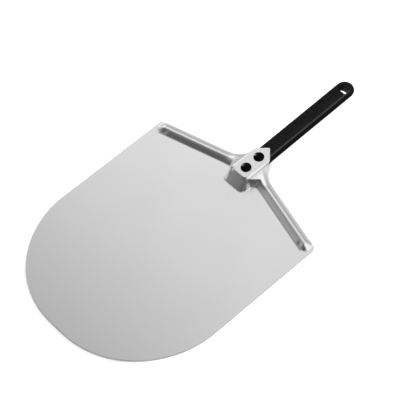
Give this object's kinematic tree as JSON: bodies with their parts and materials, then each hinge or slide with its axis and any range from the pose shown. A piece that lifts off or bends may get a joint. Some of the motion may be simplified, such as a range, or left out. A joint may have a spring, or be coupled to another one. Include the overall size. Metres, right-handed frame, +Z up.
{
  "type": "pizza peel",
  "caption": "Flat pressed-aluminium pizza peel with a rounded nose, a raised boss and stiffening beads, and a short moulded handle held by domed rivets.",
  "frame": {"origin": "centre of the blade's flat underside, midway between the nose and the rear corners", "axes": "+Y from the nose to the end of the handle, +X across the blade, +Z up from the rest plane"},
  "size_m": [0.305, 0.5433, 0.02],
  "materials": {
    "head_aluminium": "satin, finely brushed",
    "handle_nylon": "semi-matt moulded black nylon",
    "rivet_black": "gloss black",
    "washer_steel": "plain zinc-plated"
  },
  "bodies": {
    "root": {"head": "head_aluminium", "handle": "handle_nylon", "front_rivet": "rivet_black", "rear_rivet": "rivet_black", "front_washer": "washer_steel", "rear_washer": "washer_steel"}
  },
  "joints": []
}
